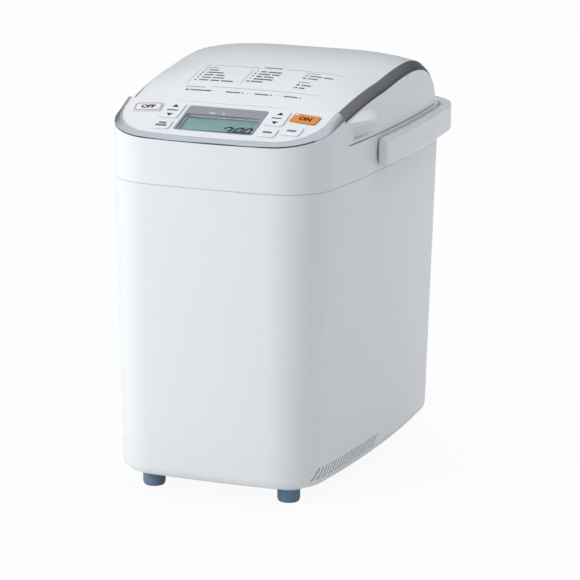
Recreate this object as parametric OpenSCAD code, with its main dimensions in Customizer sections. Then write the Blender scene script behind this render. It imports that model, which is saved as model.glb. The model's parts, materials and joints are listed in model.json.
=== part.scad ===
/* Vertical one-loaf bread machine, millimetres, +Z up, front towards -Y.
   The origin is at the middle of the footprint, on the plane the feet stand on. */

/* [Body] */
// Width of the housing at its middle
body_w = 207; // [200:1:225]
// Depth of the housing, front to back
body_d = 336; // [330:1:350]
// Radius of the four upright corners in plan
corner_r = 45; // [38:1:52]
// How far each side bulges at its middle
side_bow = 10.3; // [8:0.1:12]
// How far the front and the back bulge at their middle
front_bow = 5.6; // [4:0.1:7]
// Height of the underside of the housing above the table
body_bottom = 15.4; // [14:0.2:17]
// Height of the seam between the lower and the upper housing
seam_z = 269; // [264:1:271]
// How far the lower housing narrows on each side at its foot
taper = 6.5; // [5:0.1:8]
// Wall of the moulded housings
wall = 2.6; // [2:0.1:3]

/* [Lid] */
// Height of the line where the lid meets the housing
lid_line = 300.4; // [300:0.1:304]
// Top of the lid's arch
lid_top = 355.5; // [353:0.5:360]
// Gap between the lid and the housing
lid_gap = 0.8; // [0.6:0.1:1.1]
// How far the lid's sides stand in from the housing
lid_inset = 0.8; // [0.5:0.1:1.2]
// Width in plan of the silver band along the lid
band_w = 7.4; // [6.5:0.1:8.5]
// Height of the silver band along the lid
band_h = 7.5; // [6.5:0.1:8.5]
// Thickness of the lid's top cover
cover_t = 2.4; // [2:0.1:2.8]
// Largest reach of the finger tabs from the lid's sides
tab_reach = 7; // [5:0.5:8]

/* [Control panel] */
// Slope of the control panel
panel_tilt = 20.2; // [19:0.1:21]
// Thickness of the control panel
panel_t = 2.6; // [2.2:0.1:3]
// How far the keys stand above the panel
key_rise = 0.9; // [0.8:0.1:1.2]
// How far a key travels
key_travel = 0.7; // [0.4:0.1:0.8]
// Clearance round each key
key_gap = 0.3; // [0.2:0.05:0.4]
// Room over each key's flange, under the panel
flange_gap = 0.4; // [0.35:0.05:0.6]
// Width and height of the display's bezel
bezel = [71, 39.5];
// Width and height of the display's window
window = [66.6, 26];

/* [Carrying handle] */
// Height of the handle's arms
arm_h = 25; // [22:1:27]
// Thickness of the handle's arms, from the housing outwards
arm_t = 8.3; // [7:0.1:9]
// Gap between the handle's arms and the housing
arm_gap = 1.2; // [1:0.1:1.6]
// Thickness of the grip behind the housing
grip_t = 9; // [8:0.5:11]
// Finger gap between the grip and the housing
grip_gap = 6; // [5.5:0.5:7]
// Radius of the handle's pivot pins
pivot_r = 3; // [2.5:0.1:3.5]

/* [Baking chamber] */
// Inside width of the baking chamber
chamber_w = 148; // [144:1:150]
// Inside depth of the baking chamber
chamber_d = 180; // [176:1:182]
// Sheet thickness of the chamber and the chassis
sheet_t = 1; // [0.8:0.1:1.4]
// Width and depth of the bread pan at its top
pan_w = 116; // [112:1:120]
// Depth of the bread pan
pan_d = 136; // [130:1:140]
// Height of the bread pan
pan_h = 122; // [115:1:124]
// Wall of the bread pan
pan_wall = 1.6; // [1.4:0.1:2]
// Radius of the heating element's sheath
heater_r = 3.5; // [3:0.1:3.8]

/* [Drive] */
// Radius of the large pulley
pulley_r = 38; // [36:1:40]
// Radius of the motor pulley
pinion_r = 9.5; // [9:0.5:11]
// Radius of the motor's case
motor_r = 29; // [26:1:30]
// Height of the motor's case
motor_h = 66; // [60:1:70]
// Radius of the drive shaft and of the blade shaft
shaft_r = 4; // [3.5:0.1:4.5]
// Running clearance of shafts and pins in their bores
run_gap = 0.06; // [0.04:0.01:0.08]

/* [Feet] */
// Radius of each foot
foot_r = 9.7; // [9:0.1:10.5]
// Distance of the feet from the middle, sideways
foot_x = 62; // [58:1:64]
// Distance of the feet from the middle, front to back
foot_y = 131; // [126:1:133]

/* [Hidden] */
$fn = 48;
eps = 0.01;
fit_gap = 0.15;      // between pieces of one body that lie in each other
seat_gap = 0.3;      // between curved faces of pieces that stand side by side
body_y = -(grip_gap + grip_t) / 2;   // brings the middle of the whole length to the origin

// ---- plan outline: a side arc, a corner arc and a front arc, tangent, mirrored twice
arc_front = 3;       // steps along half of the front
arc_corner = 8;      // steps round a corner
arc_side = 4;        // steps along half of a side
function bow_radius(len, bow) = pow(len / 2, 2) / (2 * bow);
function corner_centre(w, d, r, rs, rf) =
  let (cs = [w / 2 - rs, 0], cf = [0, rf - d / 2], dist = norm(cf - cs),
       a = (pow(rs - r, 2) - pow(rf - r, 2) + dist * dist) / (2 * dist),
       h = sqrt(pow(rs - r, 2) - a * a), u = (cf - cs) / dist, p = cs + a * u,
       q = p + h * [u[1], -u[0]])
  (q[0] > 0 && q[1] < 0) ? q : p - h * [u[1], -u[0]];
function arc(c, r, a0, a1, n) = [for (i = [0 : n - 1]) c + r * [cos(a0 + (a1 - a0) * i / n),
                                                              sin(a0 + (a1 - a0) * i / n)]];
function quadrant(w, d, off) =
  let (rs = bow_radius(body_d, side_bow), rf = bow_radius(body_w, front_bow),
       c = corner_centre(w, d, corner_r, rs, rf), cs = [w / 2 - rs, 0], cf = [0, rf - d / 2],
       pf = atan2(c[1] - cf[1], c[0] - cf[0]), ps = atan2(c[1], c[0] - cs[0]))
  concat(arc(cf, rf - off, -90, pf, arc_front), arc(c, corner_r - off, pf, ps, arc_corner),
         arc(cs, rs - off, ps, 0, arc_side), [[w / 2 - off, 0]]);
function flip(pts, sx, sy) = [for (i = [len(pts) - 1 : -1 : 0]) [pts[i][0] * sx, pts[i][1] * sy]];
function drop_last(pts) = [for (i = [0 : len(pts) - 2]) pts[i]];
function ring(off, w = body_w, d = body_d) =
  let (q = quadrant(w, d, off), right = concat(drop_last(q), flip(q, 1, -1)))
  concat(drop_last(right), drop_last(flip(right, -1, 1)));
function half_w(y) = body_w / 2 - bow_radius(body_d, side_bow)
                     + sqrt(pow(bow_radius(body_d, side_bow), 2) - y * y);

// ---- general shapes
module loft(rings) {
  n = len(rings[0]);
  m = len(rings);
  polyhedron(
    points = [for (r = rings) for (p = r) p],
    faces = concat(
      [[for (i = [0 : n - 1]) i]],
      [for (k = [0 : m - 2]) for (i = [0 : n - 1]) [k * n + i, (k + 1) * n + i, (k + 1) * n + (i + 1) % n]],
      [for (k = [0 : m - 2]) for (i = [0 : n - 1]) [k * n + i, (k + 1) * n + (i + 1) % n, k * n + (i + 1) % n]],
      [[for (i = [n - 1 : -1 : 0]) (m - 1) * n + i]]));
}
module block(lo, hi) { translate(lo) cube(hi - lo); }
module rounded(w, d, h, r) {
  linear_extrude(h) hull() for (x = [-1, 1], y = [-1, 1]) translate([x * (w / 2 - r), y * (d / 2 - r)]) circle(r);
}
module prism(off, z0, z1) { translate([0, 0, z0]) linear_extrude(z1 - z0) polygon(ring(off)); }
module along_x(x0, x1) { translate([x0, 0, 0]) rotate([0, 90, 0]) linear_extrude(x1 - x0) rotate(90) children(); }
module in_body() { translate([0, body_y, 0]) children(); }
module both_sides() { children(); mirror([1, 0, 0]) children(); }

// ---- heights and places that several pieces share
lip_t = 2.6;                         // turned-in lip under the housing
tray_z = body_bottom + lip_t;        // top of that lip, where the tray lies
tray_t = 2.4;
tray_top = tray_z + tray_t;
chassis_z = 53;                      // underside of the chassis plate
chassis_top = chassis_z + 2 * sheet_t;
chamber_y = 20;                      // middle of the chamber, behind the housing's middle
deck_t = 3;
chamber_top = lid_line - deck_t;     // the chamber's flange lies under the deck
chamber_floor = 66;                  // underside of the chamber's floor
floor_top = chamber_floor + sheet_t;
motor_gap = 18;                      // room between the chamber and the motor's case
motor_y = chamber_y - chamber_d / 2 - motor_gap - motor_r;
pan_z = 100;                         // underside of the pan
pan_top = pan_z + pan_h;
display_in = 33.6;                   // from the housing's front to the display's middle
panel_y = display_in - body_d / 2;   // middle of the display, on the sloping panel
panel_z = 320.8;
panel_depth = 59;                    // from the housing's front to the lid
seam_y = panel_depth - body_d / 2;   // top edge of the seam between panel and lid
seam_run = 11.5;                     // how far that seam leans back
seam_foot = seam_y + seam_run;       // the same seam at the lid line
seam_top = panel_z + (seam_y - panel_y) * tan(panel_tilt);
trim_front = 307;                    // lower edge of the band at the front
trim_side = 322.6;                    // lower edge of the band at the seam
peak_y = 40;                         // where the lid's arch is highest
rear_deck = 31.5;                    // from the lid's rear face to the housing's rear
lid_rear = body_d / 2 - rear_deck;   // rear face of the lid
lid_foot = lid_line + lid_gap;       // lower edge of the lid
hinge_y = lid_rear + 6;
hinge_z = lid_line + 5.1;
pivot_y = -28;
arm_z = 286;                         // height of the handle's middle
arm_front = pivot_y - arm_h / 2 - 0.5;

module on_panel(u = 0, v = 0, turn = 0) {
  translate([0, panel_y, panel_z]) rotate([panel_tilt, 0, 0]) translate([u, v, 0]) rotate(turn) children();
}
// everything in front of the seam plane between panel and lid, moved back by gap
module front_of_seam(gap, z0, z1) {
  along_x(-body_w, body_w)
    polygon([[-body_d, z0], [seam_foot + gap + (seam_foot - seam_y) / (seam_top - lid_line) * (lid_line - z0), z0],
             [seam_y + gap - (seam_foot - seam_y) / (seam_top - lid_line) * (z1 - seam_top), z1], [-body_d, z1]]);
}
// region under a plane that rises from z_front at the front to z_back at the seam
module under_slope(z_front, z_back, drop = 0) {
  rise = (z_back - z_front) / (seam_y + body_d / 2);
  along_x(-body_w, body_w)
    polygon([[-body_d, 0], [0, 0], [0, z_front + rise * body_d / 2 - drop], [-body_d, z_front - rise * body_d / 2 - drop]]);
}

// ---- housings
vent_n = 20;
vent_w = 2.2;
vent_lean = 42;
vent_first = -136;
vent_pitch = 6.2;
module vents() {
  both_sides() for (i = [0 : vent_n - 1])
    translate([body_w / 2 - taper, vent_first + i * vent_pitch, body_bottom + 11.5])
      rotate([-vent_lean, 0, 0]) block([-16, -vent_w / 2, -6.5], [8, vent_w / 2, 6.5]);
}
function level(off, z) = [for (p = ring(off)) [p[0], p[1], z]];
module lower_housing() color("whitesmoke") in_body() difference() {
  loft([level(taper + 8, body_bottom), level(taper + 3.6, body_bottom + 1), level(taper + 1, body_bottom + 4),
        level(taper, body_bottom + 9), level(0, seam_z)]);
  loft([level(taper + wall + 4, tray_z), level(taper + wall, tray_z + 6), level(wall, seam_z - 6),
        level(wall, seam_z + 1)]);
  prism(taper + 14, body_bottom - 1, tray_z + 1);
  at_feet() translate([0, 0, body_bottom - 1]) cylinder(r = collar_r + fit_gap, h = lip_t + 1);
  translate([gland_x, body_d / 2 - 40, gland_z]) rotate([-90, 0, 0]) cylinder(r = gland_r + run_gap, h = 60);
  vents();
}
module upper_housing() color("whitesmoke") in_body() {
  tongue = 3;                          // reaches down inside the lower housing
  difference() {
    union() {
      difference() {
        union() {
          prism(0, seam_z + seat_gap, lid_line);
          intersection() {
            prism(0, lid_line - 1, seam_top);
            front_of_seam(0, lid_line - 1, seam_top + 1);
            under_slope(trim_front, trim_side);
          }
        }
        prism(wall, seam_z - 1, chamber_top);
        intersection() {
          prism(wall, chamber_top - 1, seam_top + 1);
          front_of_seam(-wall, chamber_top - 1, seam_top + 2);
        }
        translate([0, chamber_y, chamber_top - 1]) rounded(chamber_w, chamber_d, deck_t + 2, 14);
      }
      difference() {
        union() {
          prism(wall + fit_gap, seam_z - tongue, seam_z + seat_gap + 2);
          prism(wall - eps, seam_z + seat_gap, seam_z + seat_gap + 2);
        }
        prism(2 * wall, seam_z - tongue - 1, seam_z + seat_gap + 3);
      }
    }
    both_sides() translate([body_w / 2 - 12, pivot_y, arm_z]) rotate([0, 90, 0]) cylinder(r = pivot_r + run_gap, h = 20);
  }
}
collar_r = 13;
collar_z = 12.5;
module at_feet() { for (x = [-1, 1], y = [-1, 1]) translate([x * foot_x, y * foot_y, 0]) children(); }
module base_tray() color("gainsboro") in_body() difference() {
  union() {
    prism(taper + wall + 4.5, tray_z, tray_top);
    at_feet() translate([0, 0, collar_z]) cylinder(r = collar_r, h = tray_z - collar_z + eps);
  }
  at_feet() translate([0, 0, collar_z - 1]) cylinder(r = 2.2, h = 20);
  at_feet() translate([0, 0, collar_z - 1]) cylinder(r = 6 + fit_gap, h = 4);
  at_legs() translate([0, 0, tray_z - 1]) cylinder(r = 1.8 + run_gap, h = tray_t + 2);
  for (i = [-4 : 4]) block([-40, i * 12 - 2 + chamber_y, tray_z - 1], [40, i * 12 + 2 + chamber_y, tray_top + 1]);
}
module feet() color("slategray") in_body() at_feet() difference() {
  union() {
    cylinder(r1 = foot_r - 1, r2 = foot_r, h = 3);
    translate([0, 0, 3]) cylinder(r = foot_r, h = collar_z - 3);
    translate([0, 0, collar_z - eps]) cylinder(r = 6, h = 2.9);
  }
  translate([0, 0, -1]) cylinder(r = 4.2, h = 7);
  cylinder(r = 2.2, h = 20);
}
module foot_screws() color("silver") in_body() at_feet() {
  translate([0, 0, 3.2]) cylinder(r = 3.8, h = 2.8);
  translate([0, 0, 5.9]) cylinder(r = 1.9, h = tray_top - 5.9);
}

// ---- control panel
trim_in = 6.4;                        // width in plan of the fixed band
// the front band: an outer lower edge, an inner upper edge and a body behind them
function slope_z(y, z_front, z_back) = z_front + (z_back - z_front) * (y + body_d / 2) / (seam_y + body_d / 2);
function panel_at(y) = panel_z + (y - panel_y) * tan(panel_tilt);
function band_low(off, lift) = [for (p = ring(off)) [p[0], p[1], slope_z(p[1], trim_front, trim_side) + lift]];
function band_high(off, drop) = [for (p = ring(off)) [p[0], p[1], panel_at(p[1]) + 0.4 - drop]];
module front_trim() color("silver") in_body() intersection() {
  difference() {
    loft([band_low(0, fit_gap), band_low(0, 0.8), band_high(trim_in * 0.55, 1.1), band_high(trim_in - 1, 0)]);
    prism(trim_in, seam_z, lid_top);
  }
  front_of_seam(0, seam_z, lid_top);
}
panel_edge = trim_in + fit_gap;
key_near = 58.1;                      // where the outer keys start, beside the rockers
key_far = body_w / 2 - 20.4;          // where they end, beside the band
key_u = (key_near + key_far) / 2;
keys = [                              // centre, size and turn of each key on the panel
  ["cancel_key", [-key_u, 12.3], [key_far - key_near, 13.8], 8.3],
  ["start_key", [key_u, 12.3], [key_far - key_near, 13.8], -8.3],
  ["crust_key", [-47.2, -13.6], [16.2, 14.2], 0],
  ["timer_key", [47.2, -13.6], [16.2, 14.2], 0],
  ["cycle_key", [66.8, -8.3], [17, 14.2], -3],
  ["course_rocker", [-47.2, 9.5], [17, 23.4], 0],
  ["time_rocker", [47.2, 9.5], [17, 23.4], 0]
];
key_r = 2.6;
flange_z = -panel_t - flange_gap;            // top of each key's retaining flange
flange_t = 1.2;
board_z = flange_z - flange_t - key_travel - 2.6;   // top of the circuit board
board_w = 146;
board_d = 44;
bezel_v = 0.7;
window_v = -5.3;
module key_plate(size, grow, z0, z1) {
  translate([0, 0, z0]) rounded(size[0] + 2 * grow, size[1] + 2 * grow, z1 - z0, key_r + grow);
}
module key(i) {
  on_panel(keys[i][1][0], keys[i][1][1], keys[i][3]) {
    key_plate(keys[i][2], -key_gap, flange_z - flange_t, key_rise);
    key_plate(keys[i][2], 0.7, flange_z - flange_t, flange_z);
  }
}
module posts() {
  for (u = [-66, 66], v = [-board_d / 2 + 5, board_d / 2 - 5])
    on_panel(u + (v > 0 ? sign(u) * -7 : 0), v > 0 ? v + 1.5 : v, 0) children();
}
module control_panel() color("whitesmoke") in_body() {
  difference() {
    intersection() {
      on_panel() block([-body_w / 2, -60, -panel_t], [body_w / 2, 40, 0]);
      prism(panel_edge, seam_z, lid_top);
      front_of_seam(0, seam_z, lid_top);
    }
    for (k = keys) on_panel(k[1][0], k[1][1], k[3]) key_plate(k[2], 0, -panel_t - 1, 1);
    on_panel(0, bezel_v) key_plate(bezel, fit_gap, -panel_t - 1, 1);
  }
  for (u = [-34, 34]) on_panel(u * 1.12, -board_d / 2 + 0.6) translate([0, 0, board_z]) cylinder(r = 1.4, h = -panel_t - board_z + eps);
}
module lcd_bezel() color("silver") in_body() difference() {
  on_panel(0, bezel_v) key_plate(bezel, 0, -panel_t, 0.5);
  on_panel(0, window_v) key_plate(window, 0, -1.4, 1);
  on_panel(0, window_v) key_plate(window, -1.5, -panel_t - 1, 1);
}
module lcd_lens() color("darkseagreen") in_body() on_panel(0, window_v) key_plate(window, -fit_gap, -1.4, -0.4);
module lcd_module() color("dimgray") in_body() on_panel(0, window_v)
  block([-window[0] / 2, -window[1] / 2 + 1, board_z], [window[0] / 2, window[1] / 2 - 1, -panel_t]);
module circuit_board() color("darkgreen") in_body() on_panel()
  block([-board_w / 2, -board_d / 2, board_z - 1.6], [board_w / 2, board_d / 2, board_z]);
switch_h = 2.3;
module key_switches() color("black") in_body() for (k = keys) {
  spread = k[2][1] > 20 ? 7 : 0;
  for (s = spread > 0 ? [-1, 1] : [0]) on_panel(k[1][0], k[1][1] + s * spread, k[3]) {
    block([-3, -3, board_z], [3, 3, board_z + 1.5]);
    translate([0, 0, board_z + 1.4]) cylinder(r = 1.6, h = switch_h - 1.4, $fn = 24);
  }
}

// ---- chassis, chamber and heating
leg_x = 66;
leg_y = [-140, 118];
module chassis() color("lightsteelblue") in_body() difference() {
  union() {
    block([-leg_x, leg_y[0], chassis_z], [leg_x, leg_y[1], chassis_top]);
    for (x = [-1, 1], y = leg_y) translate([x * leg_x, y, 0]) {
      block([x > 0 ? -2 * sheet_t : 0, y < 0 ? 0 : -20, tray_top], [x > 0 ? 0 : 2 * sheet_t, y < 0 ? 20 : 0, chassis_z + eps]);
      block([x > 0 ? -14 : 0, y < 0 ? 0 : -20, tray_top], [x > 0 ? 0 : 14, y < 0 ? 20 : 0, tray_top + 2 * sheet_t]);
    }
    for (x = [-1, 1], y = [-1, 1]) translate([x * (leg_x - 8), chamber_y + y * (chamber_d / 2 - 12), chassis_top - eps])
      cylinder(r = 5, h = chamber_floor - chassis_top + eps);
  }
  translate([0, chamber_y, chassis_z - 1]) cylinder(r = bearing_r + fit_gap, h = 5);
  translate([0, motor_y, chassis_z - 1]) cylinder(r = 12, h = 5);
  at_legs() translate([0, 0, tray_top - 1]) cylinder(r = 2, h = 5);
}
module at_legs() { for (x = [-1, 1], y = leg_y) translate([x * (leg_x - 8), y - sign(y) * 10, 0]) children(); }
module chassis_screws() color("silver") in_body() at_legs() {
  translate([0, 0, tray_top + 2 * sheet_t]) cylinder(r = 3.4, h = 2.2);
  translate([0, 0, tray_z + 0.4]) cylinder(r = 1.8, h = tray_top + 2 * sheet_t - tray_z);
}
chamber_r = 14;
module baking_chamber() color("gray") in_body() translate([0, chamber_y, 0]) difference() {
  union() {
    translate([0, 0, chamber_floor]) rounded(chamber_w + 2 * sheet_t, chamber_d + 2 * sheet_t, chamber_top - chamber_floor, chamber_r + sheet_t);
    translate([0, 0, chamber_top - sheet_t]) rounded(chamber_w + 16, chamber_d + 16, sheet_t, chamber_r + 8);
  }
  translate([0, 0, floor_top]) rounded(chamber_w, chamber_d, chamber_top, chamber_r);
  translate([0, 0, chamber_floor - 1]) cylinder(r = bearing_r + fit_gap, h = 5);
  for (s = [-1, 1]) translate([s * 20, -chamber_d / 2 + 5, heater_z]) rotate([90, 0, 0]) cylinder(r = heater_r + fit_gap, h = 10);
  translate([probe_x, -chamber_d / 2 + 5, probe_z]) rotate([90, 0, 0]) cylinder(r = 3 + fit_gap, h = 10);
}
heater_z = 88;
heater_in = 7;                        // from the chamber's wall to the middle of the element
bend_r = 14;
hx = chamber_w / 2 - heater_in;
hy = chamber_d / 2 - heater_in;
module rod(a, b, r) {
  v = b - a;
  translate(a) rotate([0, acos(v[2] / norm(v)), atan2(v[1], v[0])]) cylinder(r = r, h = norm(v));
}
module heater_bend(c, from) {
  translate(c) rotate([0, 0, from]) rotate_extrude(angle = 90) translate([bend_r, 0]) circle(heater_r);
}
module heating_element() color("dimgray") in_body() translate([0, chamber_y, heater_z]) {
  for (s = [-1, 1]) {
    rod([s * hx, -hy + bend_r, 0], [s * hx, hy - bend_r, 0], heater_r);
    rod([s * 20, -hy, 0], [s * (hx - bend_r), -hy, 0], heater_r);
    rod([s * 20, -hy, 0], [s * 20, -chamber_d / 2 - 12, 0], heater_r);
    translate([s * 20, -hy, 0]) sphere(heater_r);
  }
  rod([-hx + bend_r, hy, 0], [hx - bend_r, hy, 0], heater_r);
  heater_bend([hx - bend_r, hy - bend_r, 0], 0);
  heater_bend([-hx + bend_r, hy - bend_r, 0], 90);
  heater_bend([-hx + bend_r, -hy + bend_r, 0], 180);
  heater_bend([hx - bend_r, -hy + bend_r, 0], 270);
}
module heater_clips() color("silver") in_body() translate([0, chamber_y, heater_z]) for (s = [-1, 1], y = [-45, 45])
  difference() {
    block([s > 0 ? hx - heater_r - 1.2 : -chamber_w / 2, y - 5, -heater_r - 1.2],
          [s > 0 ? chamber_w / 2 : -hx + heater_r + 1.2, y + 5, heater_r + 1.2]);
    translate([s * hx, y - 6, 0]) rotate([-90, 0, 0]) cylinder(r = heater_r + fit_gap, h = 12);
  }
probe_x = 48;
probe_z = 120;
module temperature_probe() color("goldenrod") in_body() translate([probe_x, chamber_y - chamber_d / 2, probe_z]) rotate([90, 0, 0]) {
  translate([0, 0, -8]) cylinder(r = 3, h = 20);
  translate([0, 0, sheet_t]) cylinder(r = 6, h = 3);
}
base_ring_r = 30;
socket_wall = 2.4;
module pan_socket() color("silver") in_body() translate([0, chamber_y, floor_top]) difference() {
  cylinder(r = base_ring_r + 0.6 + socket_wall, h = 20);
  translate([0, 0, -1]) cylinder(r = base_ring_r + 0.6, h = 30);
}

// ---- drive
bearing_r = 12;
belt_z = 31;
belt_h = 9;
belt_t = 1.6;
pulley_gap = chamber_y - motor_y;     // distance between the two pulleys' axes
module shaft_bearing() color("goldenrod") in_body() translate([0, chamber_y, 0]) difference() {
  union() {
    translate([0, 0, chassis_z - 8]) cylinder(r = bearing_r, h = floor_top + 6 - chassis_z + 8);
    translate([0, 0, chassis_top]) cylinder(r = 20, h = 3);
  }
  cylinder(r = shaft_r + run_gap, h = 200);
}
module pulley(r, hub) {
  difference() {
    union() {
      translate([0, 0, belt_z - 1]) cylinder(r = r - belt_t / 2, h = belt_h + 2);
      for (z = [belt_z - 2, belt_z + belt_h + 0.5]) translate([0, 0, z]) cylinder(r = r + 1.5, h = 1.5);
      translate([0, 0, belt_z - 2]) cylinder(r = hub, h = belt_h + 4);
    }
    children();
  }
}
module large_pulley() color("dimgray") in_body() translate([0, chamber_y, 0]) pulley(pulley_r, 10) {
  translate([0, 0, belt_z - 3]) cylinder(r = shaft_r + fit_gap / 3, h = 20);
  for (a = [0 : 60 : 300]) rotate(a) translate([pulley_r * 0.58, 0, belt_z - 3]) cylinder(r = 7, h = 20);
}
module drive_shaft() color("silver") in_body() translate([0, chamber_y, belt_z - 4]) {
  cylinder(r = shaft_r, h = coupler_z - belt_z + 4 + 7);
}
coupler_z = floor_top + 7;            // underside of the coupler inside the chamber
coupler_h = 8;
dog_h = 8;
module drive_coupler() color("silver") in_body() translate([0, chamber_y, coupler_z]) difference() {
  union() {
    cylinder(r = 8, h = coupler_h);
    block([-11, -3, coupler_h - 4], [11, 3, coupler_h + dog_h - 4]);
  }
  translate([0, 0, -1]) cylinder(r = shaft_r + fit_gap / 3, h = coupler_h + 1);
}
module motor_case() color("silver") in_body() translate([0, motor_y, chassis_top + 3]) difference() {
  union() {
    cylinder(r = motor_r, h = motor_h);
    translate([0, 0, motor_h - eps]) cylinder(r = 11, h = 5);
    translate([0, 0, -3 - 2 * sheet_t]) cylinder(r = 11, h = 6);
  }
  translate([0, 0, -10]) cylinder(r = 3 + run_gap, h = motor_h + 30);
  for (a = [0 : 45 : 315]) rotate(a) translate([motor_r, 0, motor_h / 2]) rotate([0, 90, 0]) translate([0, 0, -3]) cylinder(r = 4, h = 6);
}
module motor_bracket() color("lightsteelblue") in_body() translate([0, motor_y, chassis_top]) difference() {
  translate([0, 0, 0]) rounded(2 * motor_r + 20, 2 * motor_r - 12, 3, 6);
  translate([0, 0, -1]) cylinder(r = 11 + fit_gap, h = 5);
}
module motor_shaft() color("silver") in_body() translate([0, motor_y, belt_z - 3]) cylinder(r = 3, h = motor_h + chassis_top + 3 + 9 - belt_z);
module motor_pulley() color("dimgray") in_body() translate([0, motor_y, 0]) pulley(pinion_r, 6)
  translate([0, 0, belt_z - 3]) cylinder(r = 3 + fit_gap / 3, h = 20);
// the belt: two straight runs and two arcs, one loop
module belt_loop(r_extra) {
  lean = asin((pulley_r - pinion_r) / pulley_gap);
  R = pulley_r + r_extra;
  r = pinion_r + r_extra;
  union() {
    circle(R, $fn = 96);
    translate([0, -pulley_gap]) circle(r, $fn = 48);
    polygon([R * [cos(lean), -sin(lean)], R * [-cos(lean), -sin(lean)],
             [0, -pulley_gap] + r * [-cos(lean), -sin(lean)], [0, -pulley_gap] + r * [cos(lean), -sin(lean)]]);
  }
}
module drive_belt() color("black") in_body() translate([0, chamber_y, belt_z]) linear_extrude(belt_h) difference() {
  belt_loop(belt_t);
  belt_loop(0.05);
}
power_y = chamber_y + chamber_d / 2 + 12;   // front face of the board, behind the chamber
module power_board() color("peru") in_body() {
  face = power_y + 1.6;
  block([-58, power_y, chassis_top + 6], [58, face, chassis_top + 96]);
  block([-30, face, chassis_top + 30], [-8, face + 17.4, chassis_top + 60]);
  block([8, face, chassis_top + 20], [40, face + 13.4, chassis_top + 44]);
  translate([-44, face, chassis_top + 72]) rotate([-90, 0, 0]) cylinder(r = 9, h = 22);
  for (x = [-50, 50]) block([x - 4, leg_y[1] - 2, chassis_top], [x + 4, power_y, chassis_top + 20]);
}
gland_x = 40;
gland_z = 42;
gland_r = 7;
// where the rear wall's outer face lies at the gland
gland_y = body_d / 2 - taper * (seam_z - gland_z) / (seam_z - body_bottom) - pow(gland_x, 2) / 2 / bow_radius(body_w, front_bow);
module cord_gland() color("dimgray") in_body() translate([gland_x, gland_y, gland_z]) rotate([-90, 0, 0]) difference() {
  union() {
    translate([0, 0, -wall - 8]) cylinder(r = gland_r, h = wall + 8);
    cylinder(r1 = gland_r, r2 = gland_r - 2, h = 4);
    translate([0, 0, -wall - 10]) cylinder(r = gland_r + 3, h = 10 - 0.8);
  }
  translate([0, 0, -20]) cylinder(r = 3.6, h = 60);
}

// ---- handle and hinge
module handle_pivots() color("silver") in_body() both_sides() translate([half_w(pivot_y) - wall - 3, pivot_y, arm_z]) rotate([0, 90, 0]) {
  cylinder(r = pivot_r, h = wall + 3 + arm_gap + arm_t - 2.4);
  cylinder(r = pivot_r + 3, h = 3 - fit_gap);
}
module carrying_handle() color("whitesmoke") in_body() difference() {
  intersection() {
    translate([0, 0, arm_z - arm_h / 2]) linear_extrude(arm_h) difference() {
      polygon(ring(0, body_w + 2 * (arm_gap + arm_t), body_d + 2 * (grip_gap + grip_t)));
      polygon(ring(0, body_w + 2 * arm_gap, body_d + 2 * grip_gap));
    }
    union() {
      block([-body_w, pivot_y, 0], [body_w, body_d, seam_top]);
      along_x(-body_w, body_w) translate([pivot_y, arm_z]) hull() for (s = [-1, 1]) translate([0.5 - 7, s * (arm_h / 2 - 6)]) circle(6);
      block([-body_w, pivot_y - 6.6, arm_z - arm_h / 2], [body_w, pivot_y + 1, arm_z + arm_h / 2]);
    }
  }
  both_sides() translate([half_w(pivot_y) - 2, pivot_y, arm_z]) rotate([0, 90, 0]) cylinder(r = pivot_r + run_gap, h = arm_gap + arm_t);
}
ear_r = 4.6;
hinge_x = 55;
pin_r = 2;
module hinge_brackets() color("whitesmoke") in_body() both_sides() for (x = [hinge_x - 9, hinge_x + 5]) difference() {
  along_x(x, x + 4) hull() {
    translate([hinge_y, hinge_z]) circle(ear_r);
    translate([hinge_y - ear_r, lid_line]) square([2 * ear_r, 1]);
  }
  translate([x - 1, hinge_y, hinge_z]) rotate([0, 90, 0]) cylinder(r = pin_r, h = 6);
}
module hinge_pins() color("silver") in_body() both_sides() translate([hinge_x - 9.5, hinge_y, hinge_z]) rotate([0, 90, 0]) cylinder(r = pin_r, h = 19);
arm_x = [hinge_x - 5 + seat_gap, hinge_x + 5 - seat_gap];
plate_lap = 2;                        // how far the lid's plate passes the chamber
arm_foot = chamber_y + chamber_d / 2 + plate_lap + 8.5;
module lid_hinge_arms() color("whitesmoke") in_body() both_sides() difference() {
  along_x(arm_x[0], arm_x[1]) {
    translate([hinge_y, hinge_z]) circle(4.2);
    polygon([[arm_foot, lid_foot + 3], [arm_foot, lid_foot + 6], [hinge_y, hinge_z + 2], [hinge_y, hinge_z - 2], [lid_rear - 3, lid_foot + 3]]);
  }
  translate([arm_x[0] - 1, hinge_y, hinge_z]) rotate([0, 90, 0]) cylinder(r = pin_r + run_gap, h = 12);
}

// ---- lid: an arched profile from the seam to the hinge, and sections across it
rise_n = 14;                          // steps up the front of the arch
fall_n = 14;                          // steps down its back
arch_power = 2.15;
function arch_front(y) = lid_top - (lid_top - seam_top) * pow((y - peak_y) / (seam_y - peak_y), 2);
function arch_back(t) = [peak_y + (lid_rear - peak_y) * pow(sin(t), 2 / arch_power),
                         lid_foot + (lid_top - lid_foot) * pow(cos(t), 2 / arch_power)];
lid_start = seam_y + lid_gap;
arch = concat([for (i = [0 : rise_n]) let (y = lid_start + (peak_y - lid_start) * i / rise_n) [y, arch_front(y)]],
              [for (i = [1 : fall_n]) arch_back(90 * i / fall_n)]);
function arch_dir(i) = let (a = arch[max(i - 1, 0)], b = arch[min(i + 1, len(arch) - 1)]) (b - a) / norm(b - a);
function inward(i) = let (t = arch_dir(i)) [t[1], -t[0]];
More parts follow.
